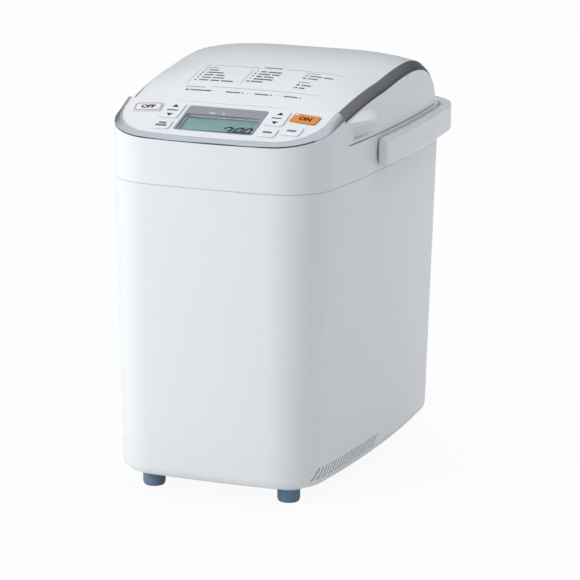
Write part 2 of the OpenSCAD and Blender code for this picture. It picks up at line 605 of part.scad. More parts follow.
// how far the cover's long edges lie below its middle
function crown(y) = y < -20 ? 3 + 6 * (y - lid_start) / (-20 - lid_start) : y < peak_y ? 9 - 2 * (y + 20) / (peak_y + 20) : 7 - 3 * (y - peak_y) / (lid_rear - peak_y);
across_n = 6;                         // steps from the middle of the cover to its edge
function side_x(y, in) = half_w(y) - lid_inset - in;
function cover_section(i, depth) =
  let (p = arch[i], n = inward(i), x1 = side_x(p[1] > 0 ? p[0] : p[0], band_w))
  [for (k = [-across_n : across_n]) let (f = k / across_n, d = crown(p[0]) * pow(abs(f), 4) + depth)
    [f * x1, p[0] + n[0] * d, p[1] + n[1] * d]];
module sheet(t0, t1) {
  loft([for (i = [0 : len(arch) - 1]) concat(cover_section(i, t1), [for (k = [2 * across_n : -1 : 0]) cover_section(i, t0)[k]])]);
}
module above_lid_foot() { block([-body_w, -body_d, lid_foot], [body_w, body_d, 2 * lid_top]); }
module lid_cover() color("whitesmoke") in_body() difference() {
  intersection() {
    sheet(0, cover_t);
    above_lid_foot();
  }
  both_sides() block([arm_x[0] - fit_gap, lid_rear - 30, lid_foot - 1], [arm_x[1] + fit_gap, lid_rear + 10, hinge_z + 2.4]);
}
function band_section(i, s) =
  let (p = arch[i], n = inward(i), c = crown(p[0]), x1 = side_x(p[0], band_w) + fit_gap, x2 = side_x(p[0], 0))
  [for (q = [[x1, c], [x2 - 1.2, c + band_h - 2.6], [x2, c + band_h], [x2 - 2.4, c + band_h], [x1, c + cover_t]])
    [s * q[0], p[0] + n[0] * q[1], p[1] + n[1] * q[1]]];
module lid_trim() color("silver") in_body() both_sides() intersection() {
  loft([for (i = [0 : len(arch) - 1]) band_section(i, 1)]);
  above_lid_foot();
}
// side view of the room under the band
function under_band(d) = [for (i = [0 : len(arch) - 1]) let (p = arch[i], n = inward(i), c = crown(p[0]) + band_h + d) [p[0] + n[0] * c, p[1] + n[1] * c]];
module lid_side_shape(d, foot) {
  shape = under_band(d);
  intersection() {
    polygon(concat([[seam_foot + lid_gap, foot]], shape, [[lid_rear, 0], [seam_foot + lid_gap, 0]]));
    translate([-body_d, foot]) square([2 * body_d, body_d]);
  }
}
tab_chord = 59;
tab_y = -63;
tab_z = lid_foot + 14.5;
tab_t = 4;
tab_slope = 6;
module tab_lens() {
  r = (tab_chord * tab_chord / 4 + tab_reach * tab_reach) / (2 * tab_reach);
  translate([half_w(tab_y) - lid_inset + tab_reach - r, tab_y, tab_z]) {
    cylinder(r = r, h = tab_t, $fn = 160);
    translate([0, 0, tab_t - eps]) cylinder(r1 = r, r2 = r - tab_reach, h = tab_slope, $fn = 160);
  }
}
scoop_d = 5;
boss_d = 5.5;                         // depth of the boss behind the finger hollow
module scoop() {
  // finger hollow under the tab: deepest at its front end
  hull() {
    translate([half_w(tab_y), tab_y - tab_chord / 2 + 5, lid_foot + 2.5]) block([-scoop_d, 0, 0], [8, 6, 12]);
    translate([half_w(tab_y), tab_y + tab_chord / 2 - 8, lid_foot + 2.5]) block([0.1, 0, 0], [8, 6, 12]);
  }
}
module lid_side(s) {
  mirror([s < 0 ? 1 : 0, 0, 0]) {
    difference() {
      union() {
        intersection() {
          difference() {
            prism(lid_inset, lid_foot, 352);
            prism(lid_inset + wall, lid_foot - 1, 353);
          }
          along_x(0, body_w) lid_side_shape(0.4, lid_foot);
        }
        // boss behind the finger hollow
        intersection() {
          prism(lid_inset + wall - eps, lid_foot, 352);
          along_x(half_w(tab_y) - lid_inset - wall - boss_d, body_w) translate([tab_y - tab_chord / 2 - 0.5, lid_foot]) square([tab_chord + 1, 18]);
        }
      }
      scoop();
    }
    difference() {
      intersection() {
        tab_lens();
        along_x(0, body_w) lid_side_shape(fit_gap, lid_foot);
      }
      prism(lid_inset + 1, lid_foot, 350);
    }
  }
}
module lid_side_left() color("whitesmoke") in_body() lid_side(-1);
module lid_side_right() color("whitesmoke") in_body() lid_side(1);
inner_off = lid_inset + wall + boss_d + 1.5;   // the lid frame stands inside the sides and their bosses
gasket_w = 8;
module lid_frame() color("gainsboro") in_body() difference() {
  union() {
    intersection() {
      prism(inner_off, lid_foot, lid_foot + 3);
      along_x(-body_w, body_w) lid_side_shape(3, lid_foot);
      block([-body_w, seam_foot, 0], [body_w, lid_rear - 6, 400]);
    }
    // slanting front wall behind the seam
    intersection() {
      union() {
        prism(lid_inset + wall + fit_gap, lid_foot, lid_foot + 12);
        prism(lid_inset + band_w + 2 * seat_gap, lid_foot, seam_top);
      }
      difference() {
        front_of_seam(lid_gap + wall, lid_foot - 1, seam_top + 2);
        front_of_seam(lid_gap, lid_foot - 2, seam_top + 3);
      }
      along_x(-body_w, body_w) polygon(concat([[lid_start - 2, lid_foot], [peak_y, lid_foot]], [for (i = [len(arch) - 1 : -1 : 0]) if (arch[i][0] < peak_y) arch[i] + (crown(arch[i][0]) + cover_t + fit_gap) * inward(i)], [[lid_start - 4, seam_top - 9]]));
    }
  }
  translate([0, chamber_y, lid_foot - 1]) rounded(chamber_w - 10, chamber_d - 10, 6, 10);
}
module lid_inner_plate() color("lightgray") in_body() translate([0, chamber_y, lid_foot + 3]) difference() {
  union() {
    rounded(chamber_w + 2 * plate_lap, chamber_d + 2 * plate_lap, sheet_t, 14);
    rounded(chamber_w - 14, chamber_d - 14, 12, 10);
  }
  translate([0, 0, -1]) rounded(chamber_w - 16, chamber_d - 16, 12, 9);
  for (i = [-3 : 3]) translate([i * 8, chamber_d / 2 - 24, 5]) cylinder(r = 1.6, h = 12);
}
module lid_gasket() color("dimgray") in_body() translate([0, chamber_y, lid_foot - lid_gap + 0.1]) difference() {
  rounded(chamber_w - 10 - 2 * fit_gap, chamber_d - 10 - 2 * fit_gap, lid_gap + 2.9, 10 - fit_gap);
  translate([0, 0, -1]) rounded(chamber_w - 10 - 2 * gasket_w, chamber_d - 10 - 2 * gasket_w, 8, 5);
}

// ---- pan, blade
pan_r = 18;
module bread_pan() color("dimgray") in_body() translate([0, chamber_y, 0]) {
  difference() {
    union() {
      translate([0, 0, pan_z]) rounded(pan_w, pan_d, pan_h, pan_r);
      translate([0, 0, pan_top - 1.6]) rounded(pan_w + 8, pan_d + 8, 1.6, pan_r + 4);
    }
    translate([0, 0, pan_z + pan_wall]) rounded(pan_w - 2 * pan_wall, pan_d - 2 * pan_wall, pan_h, pan_r - pan_wall);
    translate([0, 0, pan_z - 1]) cylinder(r = bush_r + fit_gap, h = 5);
  }
  for (s = [-1, 1]) difference() {
    along_x(s * (pan_w / 2 + 1) - 1, s * (pan_w / 2 + 1) + 1) hull() {
      translate([0, bail_z]) circle(5);
      translate([-8, pan_top - eps]) square([16, 0.1]);
    }
    translate([s * (pan_w / 2 + 1) - 2, 0, bail_z]) rotate([0, 90, 0]) cylinder(r = bail_r + run_gap, h = 4);
  }
}
bail_r = 2;
bail_z = pan_top + 5.5;
bail_l = 58;
bail_x = pan_w / 2 - 5;
module pan_handle() color("silver") in_body() translate([0, chamber_y, bail_z]) {
  for (s = [-1, 1]) {
    rod([s * bail_x, 0, 0], [s * (pan_w / 2 + 3.4), 0, 0], bail_r);
    translate([s * bail_x, 0, 0]) sphere(bail_r);
    rod([s * bail_x, 0, 0], [s * bail_x, bail_l - 12, 0], bail_r);
  }
  rod([-bail_x + 12, bail_l, 0], [bail_x - 12, bail_l, 0], bail_r);
  translate([bail_x - 12, bail_l - 12, 0]) rotate_extrude(angle = 90) translate([12, 0]) circle(bail_r);
  translate([-bail_x + 12, bail_l - 12, 0]) rotate(90) rotate_extrude(angle = 90) translate([12, 0]) circle(bail_r);
}
module pan_base_ring() color("silver") in_body() translate([0, chamber_y, floor_top + seat_gap]) difference() {
  cylinder(r = base_ring_r, h = pan_z - floor_top - seat_gap);
  translate([0, 0, -1]) cylinder(r = base_ring_r - 2.4, h = 60);
}
bush_r = 9;
module pan_bush() color("goldenrod") in_body() translate([0, chamber_y, 0]) difference() {
  union() {
    translate([0, 0, pan_z - 4]) cylinder(r = bush_r, h = 4 + pan_wall + 4);
    translate([0, 0, pan_z - 4]) cylinder(r = bush_r + 4, h = 4);
  }
  translate([0, 0, pan_z - 10]) cylinder(r = shaft_r + run_gap, h = 40);
}
driven_z = coupler_z + coupler_h - 4; // the driven cup's lower edge, level with the dog
module driven_coupler() color("silver") in_body() translate([0, chamber_y, 0]) difference() {
  translate([0, 0, driven_z + 0.5]) cylinder(r = 16, h = pan_z - 4.5 - driven_z - 0.5);
  translate([0, 0, driven_z - 1]) linear_extrude(dog_h + 2) difference() {
    circle(13);
    for (s = [-1, 1]) translate([-2.5, s > 0 ? 9 : -14]) square([5, 5]);
  }
  translate([0, 0, driven_z]) cylinder(r = shaft_r + fit_gap / 3, h = 40);
}
blade_top = pan_z + pan_wall + 22;
module blade_shaft() color("silver") in_body() translate([0, chamber_y, driven_z + dog_h + 1.6]) cylinder(r = shaft_r, h = blade_top - 6 - driven_z - dog_h - 1.6);
module kneading_blade() color("dimgray") in_body() translate([0, chamber_y, pan_z + pan_wall + 4.4]) difference() {
  union() {
    cylinder(r = 8, h = 14);
    hull() {
      translate([-2, 0, 0]) cube([4, 36, 3]);
      translate([-1, 0, 0]) cube([2, 20, 16]);
    }
  }
  translate([0, 0, -1]) cylinder(r = shaft_r + fit_gap / 3, h = 13);
}

module cancel_key() color("white") in_body() key(0);
module start_key() color("darkorange") in_body() key(1);
module crust_key() color("white") in_body() key(2);
module timer_key() color("white") in_body() key(3);
module cycle_key() color("white") in_body() key(4);
module course_rocker() color("white") in_body() key(5);
module time_rocker() color("white") in_body() key(6);

lower_housing();
upper_housing();
base_tray();
feet();
foot_screws();
front_trim();
control_panel();
lcd_bezel();
lcd_lens();
lcd_module();
circuit_board();
key_switches();
chassis();
chassis_screws();
baking_chamber();
heating_element();
heater_clips();
temperature_probe();
pan_socket();
motor_case();
motor_bracket();
shaft_bearing();
drive_belt();
power_board();
cord_gland();
handle_pivots();
hinge_brackets();
hinge_pins();
carrying_handle();
lid_cover();
lid_trim();
lid_side_left();
lid_side_right();
lid_frame();
lid_inner_plate();
lid_gasket();
lid_hinge_arms();
cancel_key();
start_key();
crust_key();
timer_key();
cycle_key();
course_rocker();
time_rocker();
large_pulley();
drive_shaft();
drive_coupler();
motor_shaft();
motor_pulley();
bread_pan();
pan_base_ring();
pan_bush();
pan_handle();
blade_shaft();
kneading_blade();
driven_coupler();
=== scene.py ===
"""A vertical one-loaf bread machine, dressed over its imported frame. Metres, +Z up, front towards -Y."""
import json
from math import pi, radians

import bmesh
import bpy
from mathutils import Matrix, Vector
from mathutils.bvhtree import BVHTree


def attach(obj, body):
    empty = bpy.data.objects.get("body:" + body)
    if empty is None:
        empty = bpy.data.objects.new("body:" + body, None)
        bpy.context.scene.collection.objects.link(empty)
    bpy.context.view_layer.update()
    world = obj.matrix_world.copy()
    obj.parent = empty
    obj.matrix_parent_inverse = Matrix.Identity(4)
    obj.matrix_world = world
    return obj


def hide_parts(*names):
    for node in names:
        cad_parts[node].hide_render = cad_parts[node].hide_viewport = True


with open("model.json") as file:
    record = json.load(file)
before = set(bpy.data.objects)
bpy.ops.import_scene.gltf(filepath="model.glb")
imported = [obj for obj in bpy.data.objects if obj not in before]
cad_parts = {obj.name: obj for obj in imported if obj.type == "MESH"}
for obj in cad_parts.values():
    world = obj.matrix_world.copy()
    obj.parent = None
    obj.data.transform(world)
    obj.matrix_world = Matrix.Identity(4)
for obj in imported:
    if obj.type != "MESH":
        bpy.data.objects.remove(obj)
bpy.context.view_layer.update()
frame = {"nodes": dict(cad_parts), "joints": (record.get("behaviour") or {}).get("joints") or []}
nodes = frame["nodes"]
mm = 0.001

# ---- Studio. A long lens looks at the machine from its front right, a little above its lid.
# One large soft lamp stands at the front left and four weaker ones fill the other sides.
# The pale floor runs out into a white surround, which the gloss of the plastic shows too.
camera_data = bpy.data.cameras.new("camera")
camera_data.lens = 199.4
camera_data.sensor_width = 36
camera = bpy.data.objects.new("camera", camera_data)
bpy.context.scene.collection.objects.link(camera)
camera_place = (1.0239, -2.5481, 0.7994)
turned, raised, rolled = radians(21.77), radians(13.38), radians(0.48)
camera.matrix_world = (
    Matrix.Translation(camera_place)
    @ Matrix.Rotation(turned, 4, "Z")
    @ Matrix.Rotation(pi / 2 - raised, 4, "X")
    @ Matrix.Rotation(rolled, 4, "Z")
)
bpy.context.scene.camera = camera
bpy.context.scene.view_settings.view_transform = "Standard"

lit_point = Vector((0, 0, 0.19))
for lamp_name, place, size, power, tint in (
    ("key_light", (-2.1, -2.6, 1.5), 1.5, 60, (1, 0.99, 0.97)),
    ("edge_light", (-2.9, -0.6, 0.7), 1.2, 20, (1, 1, 1)),
    ("fill_light", (2.0, -2.7, 1.3), 1.4, 4, (0.97, 0.98, 1)),
    ("top_light", (0.9, 0.5, 2.7), 1.4, 17, (0.98, 0.99, 1)),
    ("back_light", (-1.1, 1.9, 2.1), 1.4, 20, (0.98, 0.99, 1)),
):
    lamp_data = bpy.data.lights.new(lamp_name, "AREA")
    lamp_data.size, lamp_data.energy, lamp_data.color = size, power, tint
    lamp = bpy.data.objects.new(lamp_name, lamp_data)
    bpy.context.scene.collection.objects.link(lamp)
    aim = (lit_point - Vector(place)).to_track_quat("-Z", "Y").to_matrix().to_4x4()
    lamp.matrix_world = Matrix.Translation(place) @ aim
    lamp.visible_glossy = lamp_name in ("key_light", "fill_light")


class Wire:
    """A socket in a node tree. An expression on wires adds its Math nodes."""

    def __init__(self, tree, socket):
        self.tree, self.socket = tree, socket

    def maths(self, operation, first, second):
        return add_node(self.tree, "ShaderNodeMath", {"operation": operation}, {0: first, 1: second})

    def __add__(self, other): return self.maths("ADD", self, other)
    def __radd__(self, other): return self.maths("ADD", other, self)
    def __sub__(self, other): return self.maths("SUBTRACT", self, other)
    def __rsub__(self, other): return self.maths("SUBTRACT", other, self)
    def __mul__(self, other): return self.maths("MULTIPLY", self, other)
    def __rmul__(self, other): return self.maths("MULTIPLY", other, self)


def add_node(tree, kind, settings, inputs, output=0):
    """Adds one node with its settings, then the values or wires of its sockets, and gives its output."""
    made = tree.nodes.new(kind)
    for key, value in settings.items():
        if key == "stops":
            ramp = made.color_ramp
            while len(ramp.elements) < len(value):
                ramp.elements.new(0.5)
            for element, (at, colour) in zip(ramp.elements, value):
                element.position, element.color = at, colour
        else:
            setattr(made, key, value)
    for key, value in inputs.items():
        if isinstance(value, Wire):
            tree.links.new(value.socket, made.inputs[key])
        else:
            made.inputs[key].default_value = value
    return Wire(tree, made.outputs[output])


def new_tree(owner):
    """An empty node tree for a material or a world."""
    owner.use_nodes = True
    owner.node_tree.nodes.clear()
    return owner.node_tree


def put_out(tree, kind, wire):
    """Ends a node tree with its output node."""
    tree.links.new(wire.socket, tree.nodes.new(kind).inputs["Surface"])


world = bpy.data.worlds.new("studio")
bpy.context.scene.world = world
tree = new_tree(world)
seen = add_node(tree, "ShaderNodeLightPath", {}, {}, "Is Camera Ray")
glossed = add_node(tree, "ShaderNodeLightPath", {}, {}, "Is Glossy Ray")
through = add_node(tree, "ShaderNodeLightPath", {}, {}, "Is Transmission Ray")
soft = add_node(tree, "ShaderNodeBackground", {}, {"Color": (0.95, 0.97, 1, 1), "Strength": 0.46})
white = add_node(tree, "ShaderNodeBackground", {}, {"Color": (1, 1, 1, 1), "Strength": 1.04})
facing = add_node(tree, "ShaderNodeTexCoord", {}, {}, "Generated")
height = add_node(tree, "ShaderNodeSeparateXYZ", {}, {0: facing}, "Z")
low_grey_high_white = [(0.28, (0.2, 0.21, 0.23, 1)), (0.7, (1, 1, 1, 1))]
studio = add_node(tree, "ShaderNodeValToRGB", {"stops": low_grey_high_white}, {0: height})
mirrored = add_node(tree, "ShaderNodeBackground", {}, {"Color": studio, "Strength": 1.0})
surround = add_node(tree, "ShaderNodeMixShader", {}, {0: glossed, 1: soft, 2: mirrored})
surround = add_node(tree, "ShaderNodeMixShader", {}, {0: seen + through, 1: surround, 2: white})
put_out(tree, "ShaderNodeOutputWorld", surround)

floor_half = 14
floor_mesh = bpy.data.meshes.new("floor")
bm = bmesh.new()
bmesh.ops.create_grid(bm, x_segments=1, y_segments=1, size=floor_half)
bm.to_mesh(floor_mesh)
bm.free()
floor = bpy.data.objects.new("floor", floor_mesh)
bpy.context.scene.collection.objects.link(floor)
floor_finish = bpy.data.materials.new("floor")
tree = new_tree(floor_finish)
pale = add_node(tree, "ShaderNodeBsdfDiffuse", {}, {"Color": (0.82, 0.82, 0.82, 1)}, "BSDF")
lit = add_node(tree, "ShaderNodeEmission", {}, {"Color": (1, 1, 1, 1), "Strength": 1}, "Emission")
seen = add_node(tree, "ShaderNodeLightPath", {}, {}, "Is Camera Ray")
glossed = add_node(tree, "ShaderNodeLightPath", {}, {}, "Is Glossy Ray")
ground = add_node(tree, "ShaderNodeMixShader", {}, {0: seen * 0.93 + glossed * 0.3, 1: pale, 2: lit})
put_out(tree, "ShaderNodeOutputMaterial", ground)
floor_mesh.materials.append(floor_finish)


# ---- Feet. Four blue-grey rubber pads are moulded with a shallow ring round a screw hole.
# A self-tapping screw holds each one under the base tray, so that the machine can't creep as it kneads.
def finish(name, colour, rough, metal=0.0, drift=0.03, grain=900, relief=0.02, rough_drift=0.06,
           stretch=(1, 1, 1), coat=0.0, shine=0.5):
    """One surface: a tone that drifts a little, a sheen that varies, and a fine relief where it has one."""
    material = bpy.data.materials.new(name)
    tree = new_tree(material)
    place = add_node(tree, "ShaderNodeTexCoord", {}, {}, "Object")
    spread = add_node(tree, "ShaderNodeMapping", {}, {"Vector": place, "Scale": stretch})
    cloudy = add_node(tree, "ShaderNodeTexNoise", {}, {"Vector": place, "Scale": 14.0, "Detail": 3.0})
    fine = add_node(tree, "ShaderNodeTexNoise", {}, {"Vector": spread, "Scale": float(grain), "Detail": 2.0})
    light = [min(1, c * (1 + drift)) for c in colour] + [1]
    dark = [c * (1 - drift) for c in colour] + [1]
    tone = add_node(tree, "ShaderNodeValToRGB", {"stops": [(0.3, dark), (0.7, light)]}, {0: cloudy})
    sheen = rough - rough_drift / 2 + cloudy * rough_drift * 0.5 + fine * rough_drift * 0.5
    sockets = {
        "Base Color": tone, "Roughness": sheen, "Metallic": metal,
        "Coat Weight": coat, "Coat Roughness": 0.12, "Specular IOR Level": shine,
    }
    if relief:
        bump = {"Height": fine, "Strength": relief, "Distance": 0.0004}
        sockets["Normal"] = add_node(tree, "ShaderNodeBump", {}, bump, "Normal")
    put_out(tree, "ShaderNodeOutputMaterial", add_node(tree, "ShaderNodeBsdfPrincipled", {}, sockets))
    return material


def dress(material, *names):
    """The CAD nodes whose shape is right keep it, and take this finish."""
    for name in names:
        holder = nodes[name]
        if not holder.material_slots:
            holder.data.materials.append(material)
        for place in holder.material_slots:
            place.link = "OBJECT"
            place.material = material


def add_piece(name, data, body):
    """A new piece that rides on a body."""
    piece = bpy.data.objects.new(name, data)
    bpy.context.scene.collection.objects.link(piece)
    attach(piece, body)
    return piece


def skin(name, material, body, edge, corners=3, sharp=32, merge=0.6):
    """A smooth-shaded piece with softened edges, on the shape of the node of that name."""
    mesh = bpy.data.meshes.new(name + "_skin")
    bm = bmesh.new()
    bm.from_mesh(nodes[name].data)
    bmesh.ops.remove_doubles(bm, verts=bm.verts, dist=2e-6)
    bmesh.ops.dissolve_limit(bm, angle_limit=radians(merge), verts=bm.verts, edges=bm.edges)
    for face in bm.faces:
        face.smooth = True
    weight = bm.edges.layers.float.new("bevel_weight_edge")
    for line in bm.edges:
        line.smooth = line.calc_face_angle(0) < radians(sharp)
        line[weight] = 0.0 if line.smooth else 1.0
    bm.to_mesh(mesh)
    bm.free()
    mesh.materials.clear()
    mesh.materials.append(material)
    piece = add_piece(name + "_skin", mesh, body)
    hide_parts(name)
    if edge:
        soften = piece.modifiers.new("edge", "BEVEL")
        soften.width, soften.segments, soften.limit_method = edge, corners, "WEIGHT"
        soften.harden_normals, soften.use_clamp_overlap = True, True
    piece.modifiers.new("even", "WEIGHTED_NORMAL").keep_sharp = True
    return piece


foot_finish = finish("blue_grey_rubber", (0.13, 0.21, 0.30), 0.55, grain=1500, relief=0.08)
skin("feet", foot_finish, "housing", 1.0 * mm, 4)

# ---- Plated fittings. Screws, clips and stampings are mild steel with a dull zinc plate.
# They come as bought parts, tumbled before plating, so their sheen is uneven.
zinc = finish("zinc_plate", (0.56, 0.57, 0.58), 0.34, metal=1, grain=600, relief=0.05, rough_drift=0.12)
dress(zinc, "foot_screws", "chassis_screws", "heater_clips", "motor_bracket", "pan_socket", "pan_base_ring")

# ---- Chassis. One pressed steel frame carries the chamber, the motor and the power board.
# It is screwed to the base tray and shows the long grain of rolled sheet.
rolled_sheet = finish("pressed_steel", (0.60, 0.61, 0.62), 0.38, metal=1, grain=500, relief=0.04,
                      stretch=(1, 1, 12))
dress(rolled_sheet, "chassis")

# ---- Motor and belt drive. The motor stands in front of the chamber, in a drawn steel shell.
# Its small pulley drives the large moulded one under the chamber through a plain rubber belt.
# Ground shafts turn in an oil-filled bronze bearing; the pins of the lid and handle are of the same bar.
dress(finish("motor_shell", (0.52, 0.53, 0.54), 0.3, metal=1, grain=700, relief=0.04), "motor_case")
ground_bar = finish("ground_steel", (0.68, 0.69, 0.70), 0.16, metal=1, grain=900, relief=0.02)
dress(ground_bar, "handle_pivots", "hinge_pins", "drive_shaft", "motor_shaft", "blade_shaft")
black_moulding = finish("black_moulding", (0.02, 0.02, 0.022), 0.45, grain=1100, relief=0.06)
dress(black_moulding, "large_pulley", "motor_pulley", "key_switches", "cord_gland")
dress(finish("belt_rubber", (0.015, 0.015, 0.015), 0.7, grain=1300, relief=0.1), "drive_belt")
bronze = finish("sintered_bronze", (0.50, 0.36, 0.18), 0.4, metal=1, grain=1600, relief=0.1)
dress(bronze, "shaft_bearing", "pan_bush", "temperature_probe")

# ---- Boards. The panel's board is glass fibre under a green lacquer, and carries the key switches.
# The power board is plain brown phenolic paper, and stands upright on the chassis behind the chamber.
dress(finish("board_lacquer", (0.03, 0.16, 0.07), 0.3, grain=400, relief=0.03), "circuit_board")
dress(finish("phenolic_board", (0.22, 0.12, 0.045), 0.5, grain=500, relief=0.05), "power_board")

# ---- Baking chamber. A box of aluminised sheet is drawn in one piece, with the grain of its rolling level.
# A sheathed heater loop is clipped inside its walls, and has turned dark and blotchy with heat.
# The two couplers that drive the blade through its floor are zinc castings.
chamber_finish = finish("aluminised_sheet", (0.63, 0.64, 0.65), 0.3, metal=1, grain=420, relief=0.05,
                        rough_drift=0.14, stretch=(1, 1, 6))
skin("baking_chamber", chamber_finish, "housing", 0.3 * mm)
heater_sheath = finish("heater_sheath", (0.10, 0.085, 0.075), 0.55, metal=0.6, grain=800, relief=0.08,
                       drift=0.2)
skin("heating_element", heater_sheath, "housing", 0)
zinc_casting = finish("cast_coupler", (0.55, 0.56, 0.57), 0.35, metal=1, grain=900, relief=0.1)
dress(zinc_casting, "drive_coupler", "driven_coupler")

# ---- Pan and blade. The pan is drawn aluminium, and the blade a casting that drops on its shaft.
# Both wear a dark non-stick coat with fine flecks; the pan's handle is a bright bent wire.
nonstick = finish("nonstick_coat", (0.035, 0.036, 0.040), 0.36, grain=2200, relief=0.12, drift=0.18, coat=0.2)
skin("bread_pan", nonstick, "pan", 0.4 * mm)
skin("kneading_blade", nonstick, "blade", 0.6 * mm)
skin("pan_handle", finish("bright_wire", (0.66, 0.67, 0.68), 0.18, metal=1), "pan_bail", 0)

# ---- Housing. Two glossy white mouldings meet at a fine seam, where the upper one's tongue reaches inside.
# They stand on a tray of the same plastic, with a plainer, duller face because it is seldom seen.
shell_white = finish("shell_white", (0.745, 0.782, 0.812), 0.27, drift=0.006, grain=500, relief=0.0,
                     rough_drift=0.008, coat=0.25)
skin("lower_housing", shell_white, "housing", 0.5 * mm)
skin("upper_housing", shell_white, "housing", 0.6 * mm)
dress(finish("tray_white", (0.60, 0.63, 0.67), 0.5, grain=900, relief=0.05), "base_tray")
dress(shell_white, "hinge_brackets")

# ---- Control panel. A smooth white moulding slopes down to the front, with a hole for each key.
# A frame in satin silver paint surrounds the display's window.
panel_white = finish("panel_white", (0.75, 0.782, 0.815), 0.24, drift=0.006, grain=900, relief=0.0,
                     rough_drift=0.008, coat=0.3)
skin("control_panel", panel_white, "housing", 0.35 * mm)
silver = finish("bezel_silver", (0.275, 0.285, 0.33), 0.32, metal=0.35, grain=1800, relief=0.02, drift=0.02)
skin("lcd_bezel", silver, "housing", 0.5 * mm)

# ---- Keys. Six white caps and one orange one are moulded with rounded edges.
# Each rides on its own body and springs back off the switches on the board below.
key_white = finish("key_white", (0.76, 0.79, 0.83), 0.26, drift=0.008, grain=1200, relief=0.015, coat=0.2)
key_orange = finish("key_orange", (0.68, 0.215, 0.018), 0.3, drift=0.02, grain=1200, relief=0.02,
                    coat=0.1, shine=0.35)
key_edge = 0.55 * mm
for key in ("cancel_key", "crust_key", "timer_key", "cycle_key", "course_rocker", "time_rocker"):
    skin(key, key_white, key, key_edge)
skin("start_key", key_orange, "start_key", key_edge)

# ---- Trim. A strip in satin silver paint wraps the panel's front.
# A darker band edges each side of the lid. Both are thin clip-on mouldings, painted before they are fitted.
trim_silver = finish("trim_silver", (0.51, 0.56, 0.615), 0.25, metal=0.95, grain=2000, relief=0.0, drift=0.03)
trim_dark = finish("trim_dark", (0.185, 0.19, 0.215), 0.28, metal=0.9, grain=2000, relief=0.0, drift=0.05)
skin("front_trim", trim_silver, "housing", 0, sharp=50, merge=0.01)
skin("lid_trim", trim_dark, "lid", 0.3 * mm)

# A near-black line is painted under the front strip as painted shade and dark reflection: it lies on the
# strip's upright outer lip, a copy of the lip's faces a little out from it.
lip_tall, line_off, line_rise, line_drop = 1.6 * mm, 0.05 * mm, 0.35 * mm, 0.1 * mm
bm = bmesh.new()
bm.from_mesh(nodes["front_trim"].data)
not_lip = []
for face in bm.faces:
    heights = [corner.co.z for corner in face.verts]
    faces_in = face.normal.xy.dot(face.calc_center_median().xy) < 0
    if abs(face.normal.z) > 0.3 or faces_in or max(heights) - min(heights) > lip_tall:
        not_lip.append(face)
bmesh.ops.delete(bm, geom=not_lip, context="FACES")
bmesh.ops.remove_doubles(bm, verts=bm.verts, dist=2e-6)
for corner in bm.verts:
    outward = corner.normal.xy.normalized().to_3d()
    on_top = False
    for line in corner.link_edges:
        step = line.other_vert(corner).co - corner.co
        on_top = on_top or (step.z < -0.3 * mm and step.xy.length < 0.05 * mm)
    corner.co += outward * line_off + Vector((0, 0, line_rise if on_top else -line_drop))
mesh = bpy.data.meshes.new("trim_painted_shade_line")
bm.to_mesh(mesh)
bm.free()
mesh.materials.clear()
# Painted shade and reflection: the line's near-black colour is not a colour of the strip itself.
mesh.materials.append(finish("trim_painted_shade_line", (0.03, 0.035, 0.045), 0.35, grain=900, relief=0.0))
thick = add_piece("trim_painted_shade_line", mesh, "housing").modifiers.new("thick", "SOLIDIFY")
thick.thickness, thick.offset = 0.08 * mm, 1

# ---- Lid cover. One arched white moulding runs from the panel over the top to the hinge.
# It is the same plastic as the housing, and its edges are softly rounded.
skin("lid_cover", shell_white, "lid", 0.5 * mm)

# ---- Lid sides. Two walls carry the cover, each with a finger tab that stands out over a hollow.
# Every face of the walls that points upward, the tab's upper face among them, has a painted highlight: it is
# painted whiter than the wall.
side_white_painted_top = finish("side_white_painted_top", (0.745, 0.782, 0.812), 0.27, drift=0.006, grain=500, relief=0.0,
                    rough_drift=0.008, coat=0.25)
tree = side_white_painted_top.node_tree
shader = next(node for node in tree.nodes if node.type == "BSDF_PRINCIPLED")
tone = Wire(tree, shader.inputs["Base Color"].links[0].from_socket)
facing = add_node(tree, "ShaderNodeTexCoord", {}, {}, "Normal")
upward = add_node(tree, "ShaderNodeSeparateXYZ", {}, {0: facing}, "Z")
# Painted highlight: where a face's normal points up, the wall's white turns to a brighter white.
painted_highlight_stops = [(0.3, (0, 0, 0, 1)), (0.6, (1, 1, 1, 1))]
painted_highlight_mask = add_node(tree, "ShaderNodeValToRGB", {"stops": painted_highlight_stops}, {0: upward})
tone = add_node(tree, "ShaderNodeMixRGB", {}, {0: painted_highlight_mask, 1: tone, 2: (0.95, 0.96, 0.98, 1)})
tree.links.new(tone.socket, shader.inputs["Base Color"])
for side in ("lid_side_left", "lid_side_right"):
    skin(side, side_white_painted_top, "lid", 0.4 * mm)

# ---- Lid inside. A white frame snaps into the cover and holds a plate of the chamber's steel in a grey seal.
# Two arms of the same white plastic reach back to the hinge pins.
skin("lid_frame", shell_white, "lid", 0.5 * mm)
skin("lid_hinge_arms", shell_white, "lid", 0.6 * mm)
skin("lid_inner_plate", chamber_finish, "lid", 0.3 * mm)
dress(finish("grey_silicone", (0.16, 0.165, 0.18), 0.6, grain=1400, relief=0.06), "lid_gasket")

# ---- Carrying handle. One thick white moulding swings on two steel pins.
# It is cast afresh over the node's shape and smoothed, which rounds all its edges alike.
grip = skin("carrying_handle", shell_white, "handle", 0)
grip.modifiers.clear()
cast = grip.modifiers.new("cast", "REMESH")
cast.mode, cast.voxel_size, cast.use_smooth_shade = "VOXEL", 0.75 * mm, True
rounded = grip.modifiers.new("rounded", "SMOOTH")
rounded.factor, rounded.iterations = 0.5, 70

